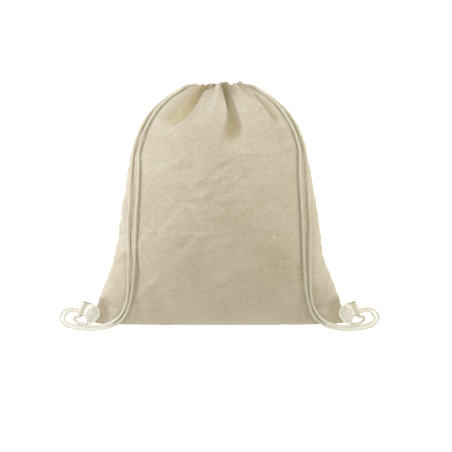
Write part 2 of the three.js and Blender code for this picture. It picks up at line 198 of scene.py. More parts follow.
# Routes of the drawcords on the right side, mirrored for the left, as in the part
INNER_CORD = [
    (50.4, 173.2, 49), (58, 168.2, 50), (68, 161.6, 51.8), (80, 152, 54.6), (91.5, 140.2, 58.6),
    (101.8, 124, 69), (112.5, 102, 73.3), (118.3, 79, 78.3), (119.3, 40, 89.5), (121, 5, 91.6),
    (123.3, -30, 89.9), (124.3, -70, 84.7), (126.5, -105, 75.5), (129, -130, 64), (132.5, -147, 54),
    (137.5, -162, 42), (146, -173.5, 29.4), (157, -181, 20), (171, -185.8, 11), (185, -187.8, 5),
    (200, -187.8, 2.6), (218, -185.6, 2.6), (231, -180.5, 2.6), (237.3, -172.5, 2.6),
    (236.3, -164.5, 3.4), (230.5, -158.5, 5.8), (222.5, -156, 7.5), (215.5, -156.2, 7.2),
    (210, -156.8, 5), (204, -158.2, 2.8), (198, -160.6, 2.6), (193.2, -165, 2.4), (191.4, -170.6, 2.4),
    (191.2, -175, 3.2), (191.2, -175.9, 7.6), (191.2, -175.4, 12.5),
]
OUTER_CORD = [
    (50.6, 174.4, 43.4), (56.5, 171, 43.4), (63.5, 166.6, 43.4), (73, 160.4, 43.5), (84.2, 152, 44),
    (95, 142.6, 47), (107.2, 128, 57.6), (119.8, 102, 63.9), (126.5, 79, 66.3), (130.5, 40, 75.9),
    (132, 5, 80.2), (134.2, -30, 79.7), (133.6, -70, 77.7), (134, -105, 71.8), (134.8, -130, 62),
    (137.3, -146.1, 53.5), (142.2, -158.6, 41.6), (150, -169.5, 31), (160.5, -177.2, 23),
    (173.5, -181.6, 14), (187, -183.1, 5), (201, -182.9, 2.6), (216.5, -180.8, 2.6),
    (227.8, -176.4, 2.6), (231.8, -171.4, 2.6), (229.6, -166, 2.6), (225.3, -161.2, 2.6),
    (219.5, -160, 2.6), (213, -161, 2.6), (206.5, -162.8, 2.6), (200.5, -165.6, 2.6),
    (197.2, -169.8, 2.8), (196.4, -172.8, 6.5), (196.3, -173.8, 14.4),
]
LOOP_CORD = [
    (194.8, -178.1, 18), (199, -178.6, 17), (206, -178.3, 13.5), (212.6, -176, 10.8),
    (215.9, -172, 10.6), (215.1, -168.8, 11.4), (212.2, -167.9, 12.5), (208.4, -168, 12.9),
    (205, -165.6, 12.4), (201.8, -161.5, 11.8), (197, -158.8, 10.6),
]

FURROWED = [INNER_CORD[4:18], OUTER_CORD[6:19]]     # the stretches that press into the front
CORD_STEP = 0.9             # between a cord's rings of points
CORD_SIDES = 24
BRAID = {"height": 0.14, "strands": 4, "pitch": 9.0, "sunk_share": 0.6}
# Painted light: the cords turn paler beside the bag, the small loops by half as much
PAINTED_LIGHT_FROM = (135, 180)      # distances from the middle between which the cord turns paler with painted light
PAINTED_LIGHT_SHARES = {"inner": 1, "outer": 1, "loop": 0.5}

# Right corner loop and right knot, as in the part
TAPE_LOOP = {
    "root": (184.7 + GAP, -162, 6.9),
    "tip": (203.5, -155.6, 13),
    "root_across": (-0.13, 0.99, 0),
    "tip_across": (-0.39, 0.92, 0),
    "opening": CORD + 4 * GAP,
    "swell": 0.42,
}
KNOT = {"radius": 13.4, "tilt": 13, "at": (190.4, -163.2, 18.6)}

# The tape's woven form. Each half leans to its own side, so that the loop's opening shows.
TAPE_WEAVE = {
    "ribs": 6, "rib_height": 0.28, "edge_from": 0.44, "edge_thinning": 0.6, "lean": 1.3,
    "between": 0.02, "rows": 30, "bend_rows": 16, "cells": 48,
}

# The knot's strands: an outer turn, bands side by side and a tucked end, then their flat underside.
# Angles are degrees, and leaves, in_until and down_until shares of the turn.
KNOT_TURN = {
    "from": 62, "to": 287, "swell": 4.2, "lift": 0.6, "sink": 2, "leaves": 0.78, "steps": 120,
    "tucked_in": 1.2, "in_until": 0.15, "tucked_down": 2.4, "down_until": 0.2,
}
KNOT_BANDS = {
    "count": 7, "pitch": 3.35, "radius": 2.0, "angle": 34, "crown": 2, "crown_reach": 3,
    "least_half": 3, "cut_back": 2, "cut_power": 4, "sway": 0.25, "sways": 5, "end_drop": 2.8,
    "drop_power": 7, "sink": 0.6, "steps": 50,
}
KNOT_TUCK = {"at": (-0.6, 8.2), "z": 2.2, "reach": 2.6, "radius": 1.25, "rise": 1.0, "steps": 24}
KNOT_UNDERSIDE = {"z": -3.4, "sag": 1.1, "sags": (9, 13.5)}

# The casing's ends: flattened sleeves of cloth round both strands, with small gathers
SLEEVE = {
    "line": [(31, 175.6), (40, 175.2), (46, 174.3), (50, 173), (54, 170.8)],
    "half_width": 3.2, "half_height": 5.9, "z": 46.3, "rings": 26, "sides": 20, "cloth_round": 19,
}
GATHERS = {"height": 0.2, "count": 5, "twist_length": 2, "length": 1.3}

# Fineness of the bag's mesh. The back has fewer columns. The inside has fewer rows, and below the hem
# they lie further in, so that they never show through a fold.
BACK_COLUMNS = 84
FRONT_COLUMNS = 3 * BACK_COLUMNS
ROWS = 240
ROW_CROWDING = 0.35         # 0 spaces the rows evenly
NORMAL_STEP = 0.004         # between the points from which a direction square to the cloth is worked out
INSIDE = {"hem_rows": 10, "body_rows": 20, "top": 0.9, "bottom": 0.02, "depth": 4}

# Shader values that all fabrics share
FABRIC = {
    "Roughness": 0.9, "Specular IOR Level": 0.25, "Sheen Weight": 0.25, "Sheen Roughness": 0.6,
}
# Unevenness of the cloth's colour in layers of noise: share in the whole, and fineness across and along
COLOR_LAYERS = [
    {"name": "patches", "share": 0.24, "fineness": (0.012, 0.012, 0), "detail": 3, "roughness": 0.6},
    {"name": "mottling", "share": 0.3, "fineness": (0.16, 0.2, 0), "detail": 3, "roughness": 0.6},
    {"name": "thick threads", "share": 0.08, "fineness": (0.03, 0.35, 0), "detail": 3, "roughness": 0.6},
    {"name": "weft", "share": 0.23, "fineness": (0.04, 1.1, 0), "detail": 3, "roughness": 0.6},
    {"name": "warp", "share": 0.15, "fineness": (1.2, 0.035, 0), "detail": 3, "roughness": 0.6},
]
# The other noises of the fabrics: share beside the threads where they make the height together
SLUBS = {"share": 1.4, "fineness": (0.05, 1.3, 0), "detail": 3, "roughness": 0.65}
CORD_MOTTLING = {"fineness": (3, 0.25, 0), "detail": 3, "roughness": 0.5}
CORD_GRAIN = {"fineness": (9, 1.6, 0), "detail": 3, "roughness": 0.5}
TAPE_MOTTLING = {"fineness": (0.5, 2.2, 0), "detail": 2, "roughness": 0.5}
TAPE_GRAIN = {"share": 0.5, "fineness": (1, 2, 0), "detail": 2, "roughness": 0.5}
# Colours of the fabrics from the darkest to the lightest places of their noise
OPEN_CLOTH = [(0.38, (0.49, 0.415, 0.285)), (0.5, (0.575, 0.505, 0.375)), (0.62, (0.655, 0.595, 0.47))]
# Painted shade: the darker, yellower cloth deep in the mouth's folds
PAINTED_FOLD_SHADE_COLORS = [(0.38, (0.475, 0.39, 0.225)), (0.62, (0.61, 0.53, 0.34))]
USUAL_CORD = [(0.3, (0.6, 0.54, 0.41)), (0.5, (0.67, 0.62, 0.48)), (0.7, (0.74, 0.69, 0.56))]
# Painted light: the paler cord colours of the stretches beside the bag and of the knots
PAINTED_LIGHT_CORD = [(0.3, (0.87, 0.84, 0.745)), (0.5, (0.91, 0.885, 0.8)), (0.7, (0.95, 0.93, 0.86))]
TAPE_COLORS = [(0.3, (0.76, 0.71, 0.56)), (0.5, (0.83, 0.79, 0.65)), (0.7, (0.88, 0.85, 0.74))]
BUMP_HEIGHTS = {"cloth": 0.12, "cord": 0.2, "tape": 0.15}
WEAVE = {"pitch": 0.62, "share": 0.35}
TAPE_PICK_PITCH = 0.8

FLOOR_REACH = 6000
FLOOR = {
    "Base Color": (0.86, 0.86, 0.86, 1), "Roughness": 0.9,
    "Emission Color": (1, 1, 1, 1), "Emission Strength": 0.66,
}
WORLD = {"Color": (1, 0.98, 0.83, 1), "Strength": 0.255}
LIGHTS = [
    {"name": "overhead", "at": (0, 0, 3500), "size": 2500, "watts": 62, "color": (1, 0.98, 0.92)},
    {"name": "upper left", "at": (-1800, 2200, 900), "size": 1400, "watts": 25, "color": (0.88, 0.98, 1.3)},
    {"name": "upper right", "at": (1800, 2200, 900), "size": 1400, "watts": 22, "color": (0.97, 1, 1.12)},
    {"name": "left", "at": (-2800, 0, 900), "size": 1400, "watts": 31, "color": (0.98, 1, 1.15)},
    {"name": "right", "at": (2800, 0, 900), "size": 1400, "watts": 14, "color": (1, 1, 1)},
]


def smooth(low, high, x):
    """Eases from 0 at low to 1 at high."""
    t = np.clip((x - low) / (high - low), 0, 1)
    return t * t * (3 - 2 * t)


def mix(a, b, t):
    return a + (b - a) * t


def soft(distance, width):
    """A bell curve, 1 in the middle, that has nearly gone at twice the width."""
    return np.exp(-((distance / width) ** 2))


def unit(vectors):
    return vectors / np.maximum(np.linalg.norm(vectors, axis=-1, keepdims=True), TINY)


def lengths_along(points):
    """Distances along a path, or along each row of a grid, from its first point to every point."""
    steps = np.linalg.norm(np.diff(points, axis=-2), axis=-1)
    start = np.zeros((*steps.shape[:-1], 1))
    return np.concatenate([start, np.cumsum(steps, axis=-1)], axis=-1)


def swaying(run, over, wave):
    """A wave along one measure that sways to and fro over another."""
    sway = wave["sway"] * np.sin(over / wave["sway_length"] + wave["shift"])
    return np.sin(run / wave["length"] + sway)


def through(points):
    """Points close together on the centripetal Catmull-Rom curve through the given ones."""
    p = np.array(points, float)
    p = np.vstack([2 * p[0] - p[1], p, 2 * p[-1] - p[-2]])
    w = np.linspace(0, 1, SPAN_POINTS, endpoint=False)[:, None]
    spans = []
    for p0, p1, p2, p3 in zip(p, p[1:], p[2:], p[3:]):
        d0, d1, d2 = (np.sqrt(np.linalg.norm(b - a)) for a, b in ((p0, p1), (p1, p2), (p2, p3)))
        t1 = ((p1 - p0) / d0 - (p2 - p0) / (d0 + d1) + (p2 - p1) / d1) * d1
        t2 = ((p2 - p1) / d1 - (p3 - p1) / (d1 + d2) + (p3 - p2) / d2) * d1
        curve = p1 + t1 * w + (3 * (p2 - p1) - 2 * t1 - t2) * w**2 + (2 * (p1 - p2) + t1 + t2) * w**3
        spans.append(curve)
    return np.vstack([*spans, p[-2:-1]])


class Line:
    """A smooth line through a few points, read by share of its length."""

    def __init__(self, points):
        self.points = through(points)
        along = lengths_along(self.points)
        self.length = along[-1]
        self.share = along / along[-1]
        self.tangents = unit(np.gradient(self.points, along, axis=0))

    def at(self, share):
        return np.stack([np.interp(share, self.share, c) for c in self.points.T], -1)

    def tangent(self, share):
        return unit(np.stack([np.interp(share, self.share, c) for c in self.tangents.T], -1))


SEAM = Line(SIDE_SEAM)
FRONT = Line([(0, y, z) for y, z in FRONT_LINE])
BACK = Line([(0, y, z) for y, z in BACK_LINE])


# The bag's form, with the part's own formulas


def fullness(v, column):
    """One column of FULLNESS at a height on the cloth, eased from row to row."""
    height = v * CLOTH_HEIGHT
    value = np.full_like(v, FULLNESS[0][column], dtype=float)
    for low, high in zip(FULLNESS, FULLNESS[1:]):
        inside = height > low["at"]
        t = smooth(low["at"], high["at"], height)
        value = np.where(inside, mix(low[column], high[column], t), value)
    return value


def inset(line, v, depth, inward_of):
    """Points of a line moved in by a depth, square to it."""
    inward = unit(inward_of(line.tangent(v)))
    return line.at(v) + inward * depth[..., None]


def inward_of_seam(t):
    return np.stack([-t[..., 1], t[..., 0], 0 * t[..., 0]], -1)


def inward_of_front(t):
    return np.stack([0 * t[..., 0], t[..., 2], -t[..., 1]], -1)


def inward_of_back(t):
    return -inward_of_front(t)


def smooth_bag(angle, v, depth):
    """The bag without folds: angle 0 is the right seam, half a turn the left, the front in between."""
    across = np.cos(angle)
    bulge = np.abs(np.sin(angle))
    front = np.sin(angle) >= 0
    seam_allowance = BOTTOM_SEAM["depth"] * (1 - smooth(0, BOTTOM_SEAM["ends"], v))
    seam_depth = np.where(depth > 0, depth + seam_allowance, 0)
    seam = inset(SEAM, v, seam_depth, inward_of_seam)
    before = inset(FRONT, v, depth, inward_of_front)
    behind = inset(BACK, v, depth, inward_of_back)
    middle = np.where(front[..., None], before, behind)
    front_swell = bulge ** fullness(v, "front")
    back_swell = np.minimum(1, fullness(v, "flat") * bulge ** fullness(v, "back"))
    swell = np.where(front, front_swell, back_swell)
    return np.stack(
        [
            seam[..., 0] * across + MOUTH_SHIFT["x"] * smooth(MOUTH_SHIFT["from"], 1, v) * bulge,
            mix(seam[..., 1], middle[..., 1], bulge ** fullness(v, "rise")),
            mix(seam[..., 2], middle[..., 2], swell),
        ],
        -1,
    )


def smooth_normal(angle, v):
    flat = np.zeros_like(v)
    upper = smooth_bag(angle, np.clip(v + NORMAL_STEP, 0, 1), flat)
    lower = smooth_bag(angle, np.clip(v - NORMAL_STEP, 0, 1), flat)
    ahead = smooth_bag(angle + NORMAL_STEP, v, flat)
    astern = smooth_bag(angle - NORMAL_STEP, v, flat)
    return unit(-np.cross(ahead - astern, upper - lower))


def beside_line(x, y, line):
    """Distance to a bent line, the side of it (+1 left, -1 right) and the share of its length there."""
    best = np.full_like(x, np.inf)
    side = np.zeros_like(x)
    share = np.zeros_like(x)
    for i, ((ax, ay), (bx, by)) in enumerate(zip(line, line[1:])):
        dx, dy = bx - ax, by - ay
        t = np.clip(((x - ax) * dx + (y - ay) * dy) / (dx * dx + dy * dy), 0, 1)
        distance = np.hypot(x - ax - t * dx, y - ay - t * dy)
        nearer = distance < best
        best = np.where(nearer, distance, best)
        side = np.where(nearer, np.sign(dx * (y - ay) - dy * (x - ax)), side)
        share = np.where(nearer, (i + t) / (len(line) - 1), share)
    return best, side, share


def distance_to_line(x, y, line):
    return beside_line(x, y, line)[0]


def crest(x, y, fold):
    """One sharp fold: a rise up to its line, then a steep drop into a hollow that levels out."""
    distance, side, share = beside_line(x, y, fold["line"])
    width = np.interp(share, CREST_STATIONS, fold["widths"])
    dark = side * fold["dark"] > 0
    drop = fold["drop"] * distance / width * np.exp(1 - distance / width)
    hollow = fold["rise"] * soft(distance, CREST_EDGE) - drop
    rise = fold["rise"] * np.exp(-distance / fold["back"])
    return np.where(dark, hollow, rise) * (1 - smooth(fold["fade"], 1, share))


def pleat(across, valleys):
    """Height of the pleats, from -1 in the valleys to 1 on the ridges between them."""
    ends = np.array(valleys, float)
    k = np.clip(np.searchsorted(ends, across, side="right"), 1, len(ends) - 1)
    t = (across - ends[k - 1]) / (ends[k] - ends[k - 1])
    return 1 - 2 * np.abs(np.cos(math.pi * t)) ** PLEATS["sharpness"]


def mouth_folds(across, x, y):
    """The sharp folds of the mouth, which end before the side seams."""
    return sum(crest(x, y, fold) for fold in CRESTS) * (1 - smooth(*CRESTS_END, np.abs(across)))


def painted_fold_shade(angle, v):
    """How deep in the mouth's folds the front's cloth lies, as the share of painted shade it gets there: 0
    is open cloth, 1 the deepest.
    """
    shape = np.broadcast(angle, v).shape
    angle = np.broadcast_to(angle, shape)
    v = np.broadcast_to(v, shape).astype(float)
    x, y, _ = np.moveaxis(smooth_bag(angle, v, np.zeros(shape)), -1, 0)
    return np.where(np.sin(angle) >= 0, smooth(*PAINTED_FOLD_SHADE_DEPTHS, -mouth_folds(np.cos(angle), x, y)), 0)


def slow_wave(x, y, wave):
    across = np.sin(x / wave["across"] + wave["across_shift"])
    return wave["height"] * across * np.sin(y / wave["along"] + wave["along_shift"])


def relief(angle, v, point):
    """How far the cloth stands out from the smooth bag: pleats, main folds and the cords' furrows."""
    front = np.sin(angle) >= 0
    across = np.cos(angle)
    x, y, z = np.moveaxis(point, -1, 0)
    at_mouth = smooth(1 - PLEATS["length"] / CLOTH_HEIGHT, 1, v) ** PLEATS["onset"]
    near_seam = smooth(PLEATS["near_seam"], 1, np.abs(across))
    gather = PLEATS["depth"] * at_mouth * mix(1, PLEATS["seam_share"], near_seam)
    pleats = np.where(front, pleat(across, FRONT_VALLEYS), pleat(across, BACK_VALLEYS))
    folds = sum(f["amount"] * soft(distance_to_line(x, y, f["line"]), f["width"]) for f in FRONT_FOLDS)
    folds = folds + mouth_folds(across, x, y)
    routes = [[p[:2] for p in cord] for cord in FURROWED]
    furrows = [soft(distance_to_line(np.abs(x), y, route), CORD_FURROW["width"]) for route in routes]
    folds = folds + CORD_FURROW["amount"] * np.maximum(*furrows)
    slanted_wave = SLANTED_WAVE["height"] * np.sin((x + y) / SLANTED_WAVE["length"])
    waves = slow_wave(x, y, FRONT_WAVE) + slanted_wave
    back_waves = slow_wave(x, y, BACK_WAVE) * smooth(*OFF_FLOOR, z)
    out = gather * pleats + np.where(front, folds + waves, back_waves)
    seam_share = mix(1, SEAM_STIFFNESS["share"], smooth(SEAM_STIFFNESS["from"], 1, np.abs(across)))
    return out * smooth(0, FOLD_STIFF_TO, v) * seam_share


def bag_surface(angle, v, depth, detail=None):
    """Points of the bag's cloth, with the part's folds and, from outside, the finer detail."""
    shape = np.broadcast(angle, v).shape
    angle = np.broadcast_to(angle, shape)
    v = np.broadcast_to(v, shape).astype(float)
    depth = np.broadcast_to(depth, shape).astype(float)
    outside = smooth_bag(angle, v, np.zeros(shape))
    normal = smooth_normal(angle, v)
    out = relief(angle, v, outside)
    if detail is not None:
        out = out + detail(angle, v, outside)
    point = smooth_bag(angle, v, depth) + normal * out[..., None]
    front = np.sin(angle) >= -ROUNDING
    from_corner = np.hypot(np.abs(point[..., 0]) - CORNER["x"], point[..., 1] - CORNER["y"])
    pressed = np.minimum(point[..., 2], CORNER["z"] - depth)
    kept = smooth(CORNER["flat"], CORNER["reach"], from_corner)
    point[..., 2] = np.where(front, mix(pressed, point[..., 2], kept), point[..., 2])
    point[..., 2] = np.maximum(point[..., 2], depth)
    drop = np.interp(np.cos(angle), [row[0] for row in RIM], [row[1] for row in RIM])
    point[..., 1] -= drop * smooth(1 - RIM_LENGTH / CLOTH_HEIGHT, 1, v)
    return point


# Meshes


def mesh_object(name, points, faces, material, cloth=None):
    """A smooth-shaded piece from points in millimetres and its faces.

    cloth gives each point's place on the flat cloth, cord or tape, for the material, and as its third value
    the share of painted shade in the bag's folds and of painted light on the cords.
    """
    mesh = bpy.data.meshes.new(name)
    mesh.from_pydata((np.asarray(points) * MM).tolist(), [], faces)
    mesh.validate()
    mesh.polygons.foreach_set("use_smooth", np.ones(len(mesh.polygons), bool))
    if cloth is not None:
        layer = mesh.attributes.new("cloth", "FLOAT_VECTOR", "POINT")
        layer.data.foreach_set("vector", np.asarray(cloth, np.float32).ravel())
    made = bpy.data.objects.new(name, mesh)
    bpy.context.scene.collection.objects.link(made)
    made.data.materials.append(material)
    return made


def ring_faces(rings, count, outward=True):
    """Quads between rings of points that each close on themselves."""
    faces = []
    for i in range(rings - 1):
        for j in range(count):
            a, b = i * count + j, i * count + (j + 1) % count
            faces.append((a, b, b + count, a + count) if outward else (a, a + count, b + count, b))
    return faces


def side_directions(points):
    """Two side directions at each point of a path, carried along without twist."""
    least = 0.1         # of the cross product, below which the path starts too upright for it
    tangents = unit(np.gradient(points, axis=0))
    side = np.cross(tangents[0], (0.0, 0.0, 1.0))
    if np.linalg.norm(side) < least:
        side = np.cross(tangents[0], (1.0, 0.0, 0.0))
    sides = []
    for t in tangents:
        side = side - t * np.dot(side, t)
        side = side / np.linalg.norm(side)
        sides.append(side)
    sides = np.array(sides)
    return sides, np.cross(tangents, sides)


def tube(path, radius, sides, relief_at):
    """Points, faces and (share of a turn, length along, 0) of a closed round tube along a path."""
    side, up = side_directions(path)
    along = lengths_along(path)
    turn = 2 * math.pi * np.arange(sides) / sides
    radii = radius + relief_at(turn[None, :], along[:, None])
    rings = (
        path[:, None, :]
        + side[:, None, :] * (radii * np.cos(turn))[..., None]
        + up[:, None, :] * (radii * np.sin(turn))[..., None]
    )
    count = sides * len(path)
    end = count - sides
    faces = ring_faces(len(path), sides)
    faces += [(count, (j + 1) % sides, j) for j in range(sides)]
    faces += [(count + 1, end + j, end + (j + 1) % sides) for j in range(sides)]
    points = np.vstack([rings.reshape(-1, 3), path[0], path[-1]])
    shares = np.tile(turn / (2 * math.pi), len(path))
    where = np.stack([shares, np.repeat(along, sides), np.zeros(count)], -1)
    return points, faces, np.vstack([where, where[0], where[-1]])


def on_side(points, faces, side):
    """A piece of the right side, kept there or mirrored to the left."""
    return points * (side, 1, 1), faces if side > 0 else [face[::-1] for face in faces]


def joined(parts):
    """Several meshes' points, faces and places on the cloth as one."""
    points, faces, where = [], [], []
    count = 0
    for p, f, w in parts:
        points.append(p)
        faces += [tuple(i + count for i in face) for face in f]
        where.append(w)
        count += len(p)
    return np.vstack(points), faces, np.vstack(where)


# Materials


def add_node(tree, kind, inputs=None, **settings):
    made = tree.nodes.new(kind)
    for name, value in settings.items():
        setattr(made, name, value)
    for name, value in (inputs or {}).items():
        socket = made.inputs[name]
        if isinstance(value, bpy.types.NodeSocket):
            tree.links.new(value, socket)
        else:
            socket.default_value = value
    return made


def set_inputs(node, values):
    """Sets a node's own sockets, by name."""
    for name, value in values.items():
        node.inputs[name].default_value = value


def noise(tree, vector, row):
    """Noise over a vector, with the fineness along each axis, the detail and the roughness of a row."""
    factors = {0: vector, 1: row["fineness"]}
    stretched = add_node(tree, "ShaderNodeVectorMath", factors, operation="MULTIPLY").outputs["Vector"]
    inputs = {"Vector": stretched, "Scale": 1.0, "Detail": row["detail"], "Roughness": row["roughness"]}
    return add_node(tree, "ShaderNodeTexNoise", inputs).outputs["Fac"]


def wave(tree, vector, pitch, direction):
    """A sine of the given pitch along one axis of the vector. The node makes 10 / pi waves to a unit."""
    inputs = {"Vector": vector, "Scale": math.pi / 10 / pitch, "Distortion": 0.0}
    settings = {"wave_type": "BANDS", "bands_direction": direction, "wave_profile": "SIN"}
    return add_node(tree, "ShaderNodeTexWave", inputs, **settings).outputs["Fac"]


def calc(tree, operation, a, b, c=0.0):
    return add_node(tree, "ShaderNodeMath", {0: a, 1: b, 2: c}, operation=operation).outputs["Value"]


def ramp(tree, fac, stops):
    """Colours between the given stops of position and colour."""
    made = add_node(tree, "ShaderNodeValToRGB", {"Fac": fac})
    elements = made.color_ramp.elements
    elements[0].position, elements[0].color = stops[0][0], (*stops[0][1], 1)
    elements[1].position, elements[1].color = stops[-1][0], (*stops[-1][1], 1)
    for at, color in stops[1:-1]:
        elements.new(at).color = (*color, 1)
    return made.outputs["Color"]


def fabric_material(name, color, bump_height, bump_millimetres):
    """A matt fabric whose colour and height come from functions that add nodes."""
    made = bpy.data.materials.new(name)
    made.use_nodes = True
    tree = made.node_tree
    shader = tree.nodes["Principled BSDF"]
    set_inputs(shader, FABRIC)
    tree.links.new(color(tree), shader.inputs["Base Color"])
    inputs = {"Height": bump_height(tree), "Distance": bump_millimetres * MM, "Strength": 1.0}
    bump = add_node(tree, "ShaderNodeBump", inputs)
    tree.links.new(bump.outputs["Normal"], shader.inputs["Normal"])
    return made


def cloth_place(tree):
    """Where a point lies on the flat piece: millimetres across and along it, then its share of painted
    shading.

    That share is 1 of painted shade deep in a fold of the bag and 1 of painted light on the palest stretch
    of a cord.
    """
    return add_node(tree, "ShaderNodeAttribute", attribute_name="cloth").outputs["Vector"]


# Share of painted shade in the bag's folds and of painted light on the cords
def painted_shading(tree, place):
    return add_node(tree, "ShaderNodeSeparateXYZ", {"Vector": place}).outputs["Z"]


def mixed_color(tree, share, first, second):
    """Two colours mixed. The Mix node's colours are its sockets 6 and 7, and 2 on the way out."""
    made = add_node(tree, "ShaderNodeMix", {"Factor": share, 6: first, 7: second}, data_type="RGBA")
    return made.outputs[2]


def cotton_color(tree):
    """Unbleached cotton, with painted shade deep in the folds that makes it darker and yellower there."""
    place = cloth_place(tree)
    whole = 0.0
    for layer in COLOR_LAYERS:
        whole = calc(tree, "MULTIPLY_ADD", noise(tree, place, layer), layer["share"], whole)
    open_cloth = ramp(tree, whole, OPEN_CLOTH)
    # Painted shade: the darker, yellower colours deep in the folds
    folded = ramp(tree, whole, PAINTED_FOLD_SHADE_COLORS)
    return mixed_color(tree, painted_shading(tree, place), open_cloth, folded)


def cotton_height(tree):
    place = cloth_place(tree)
    warp = wave(tree, place, WEAVE["pitch"], "X")
    weft = wave(tree, place, WEAVE["pitch"], "Y")
    threads = calc(tree, "MULTIPLY", calc(tree, "ADD", warp, weft), 0.5)
    weave = calc(tree, "MULTIPLY", threads, WEAVE["share"])
    return calc(tree, "MULTIPLY_ADD", noise(tree, place, SLUBS), SLUBS["share"], weave)


def cord_color(tree):
    place = cloth_place(tree)
    mottled = noise(tree, place, CORD_MOTTLING)
    # The paler colours are painted light, for the cords beside the bag and the knots
    usual, painted_pale = ramp(tree, mottled, USUAL_CORD), ramp(tree, mottled, PAINTED_LIGHT_CORD)
    return mixed_color(tree, painted_shading(tree, place), usual, painted_pale)


def cord_height(tree):
    return noise(tree, cloth_place(tree), CORD_GRAIN)


def tape_color(tree):
    return ramp(tree, noise(tree, cloth_place(tree), TAPE_MOTTLING), TAPE_COLORS)


def tape_height(tree):
    place = cloth_place(tree)
    picks = wave(tree, place, TAPE_PICK_PITCH, "Y")
    return calc(tree, "MULTIPLY_ADD", noise(tree, place, TAPE_GRAIN), TAPE_GRAIN["share"], picks)


COTTON = fabric_material("cotton_cloth", cotton_color, cotton_height, BUMP_HEIGHTS["cloth"])
CORD_COTTON = fabric_material("cotton_cord", cord_color, cord_height, BUMP_HEIGHTS["cord"])
TAPE_COTTON = fabric_material("cotton_tape", tape_color, tape_height, BUMP_HEIGHTS["tape"])


# Camera


def add_camera():
    data = bpy.data.cameras.new("camera")
    made = bpy.data.objects.new("camera", data)
    bpy.context.scene.collection.objects.link(made)
    half_view = PHOTO_WIDTH * MM_PER_PIXEL / 2
    data.lens = data.sensor_width / 2 * (CAMERA_HEIGHT - OUTLINE_HEIGHT) / half_view
    data.clip_end = CAMERA_SEES_TO
    x = (PHOTO_WIDTH / 2 - ORIGIN_PIXEL[0]) * MM_PER_PIXEL
    y = (ORIGIN_PIXEL[1] - PHOTO_WIDTH / 2) * MM_PER_PIXEL
    made.location = (x * MM, y * MM, CAMERA_HEIGHT * MM)
    bpy.context.scene.camera = made


# Drawcords


def braid(turn, along):
    """Height of a plaited cord's surface: two families of strands that wind opposite ways."""
    phase = 2 * math.pi * along / BRAID["pitch"]
    left = np.cos(BRAID["strands"] * turn + phase)
    right = np.cos(BRAID["strands"] * turn - phase)
    return BRAID["height"] * (np.maximum(left, right) - BRAID["sunk_share"])


def side_points(points, side):
    return [(side * x, y, z) for x, y, z in points]


def add_cord(kind, word, side, route, far_end):
    line = Line(side_points(route, side))
    path = line.at(np.linspace(0, 1, int(line.length / CORD_STEP)))
    points, faces, where = tube(path, CORD / 2, CORD_SIDES, braid)
    where = where * (CORD * math.pi, 1, 0)
    # Painted light: the cord turns paler beside the bag, by how far it lies from the middle
    where[:, 2] = PAINTED_LIGHT_SHARES[kind] * smooth(*PAINTED_LIGHT_FROM, np.abs(points[:, 0]))
    made = mesh_object(f"drawcord_{kind}_{word}", points, faces, CORD_COTTON, where)
    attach(made, "root")
    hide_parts(f"cord_{kind}_{word}")
    return made, line, path, far_end


# Bag


def column_angles():
    """Angles round the bag: close together on the front, wider apart on the back."""
    front = np.linspace(0, math.pi, FRONT_COLUMNS, endpoint=False)
    back = np.linspace(math.pi, 2 * math.pi, BACK_COLUMNS, endpoint=False)
    return np.concatenate([front, back])


def row_heights():
    """Heights of the rows on the cloth, closer together toward the bottom fold and the rim."""
    t = np.linspace(0, 1, ROWS)
    return mix(t, 0.5 - 0.5 * np.cos(math.pi * t), ROW_CROWDING)


def creases(x, y):
    """Height of the strewn creases over points seen from above."""
    pick = np.random.default_rng(CREASES["seed"])
    keys = ("x", "y", "slant", "length", "width", "height")
    columns = [pick.uniform(*CREASES[key], CREASES["count"]) for key in keys]
    out = np.zeros_like(x)
    for cx, cy, slant, length, width, height in zip(*columns):
        c, n = math.cos(math.radians(slant)), math.sin(math.radians(slant))
        along = (x - cx) * c + (y - cy) * n
        beside = (y - cy) * c - (x - cx) * n
        out += height * np.exp(-((along / length) ** 2) - (beside / width) ** 2)
    return out


def wrinkles(x, y):
    """Fine wrinkles of the cloth: two pairs of waves that cross."""
    square = swaying(x, y, WRINKLES["across"]) * swaying(y, x, WRINKLES["along"])
    slanted = swaying(x + WRINKLE_SLANTS["slanted"] * y, x, WRINKLES["slanted"])
    crossing = swaying(y + WRINKLE_SLANTS["crossing"] * x, x, WRINKLES["crossing"])
    return WRINKLE_HEIGHTS["square"] * square + WRINKLE_HEIGHTS["slanted"] * slanted * crossing


def rim_ruffles(x, front):
    """Small ruffles of the gathered rim: single ones on the front, a rippling row on the back."""
    on_front = sum(soft(x - at, RUFFLE["width"]) for at in RUFFLES)
    on_back = BACK_RUFFLES["mean"] + BACK_RUFFLES["share"] * swaying(x, x, BACK_RUFFLES)
    on_back = on_back + BACK_RUFFLES["slow_share"] * np.sin(x / BACK_RUFFLES["slow_length"])
    return np.where(front, on_front, on_back)


def bag_detail(angle, v, point):
    """Finer folds than the part's: wrinkles, creases, puckers beside the seams and the rim's ruffles."""
    x, y, z = np.moveaxis(point, -1, 0)
    height = v * CLOTH_HEIGHT
    worn = creases(x, y) * smooth(*OFF_FLOOR, z) * (1 - smooth(*CREASES["ends"], v))
    beside_seam = smooth(*PUCKERS["near_seam"], np.abs(np.cos(angle)))
    puckers = PUCKERS["height"] * swaying(height, height, PUCKERS) * beside_seam
    at_rim = smooth(CLOTH_HEIGHT - RUFFLE["length"], CLOTH_HEIGHT, height)
    ruffles = RUFFLE["depth"] * rim_ruffles(x, np.sin(angle) >= 0) * at_rim
    return wrinkles(x, y) + worn + puckers - ruffles


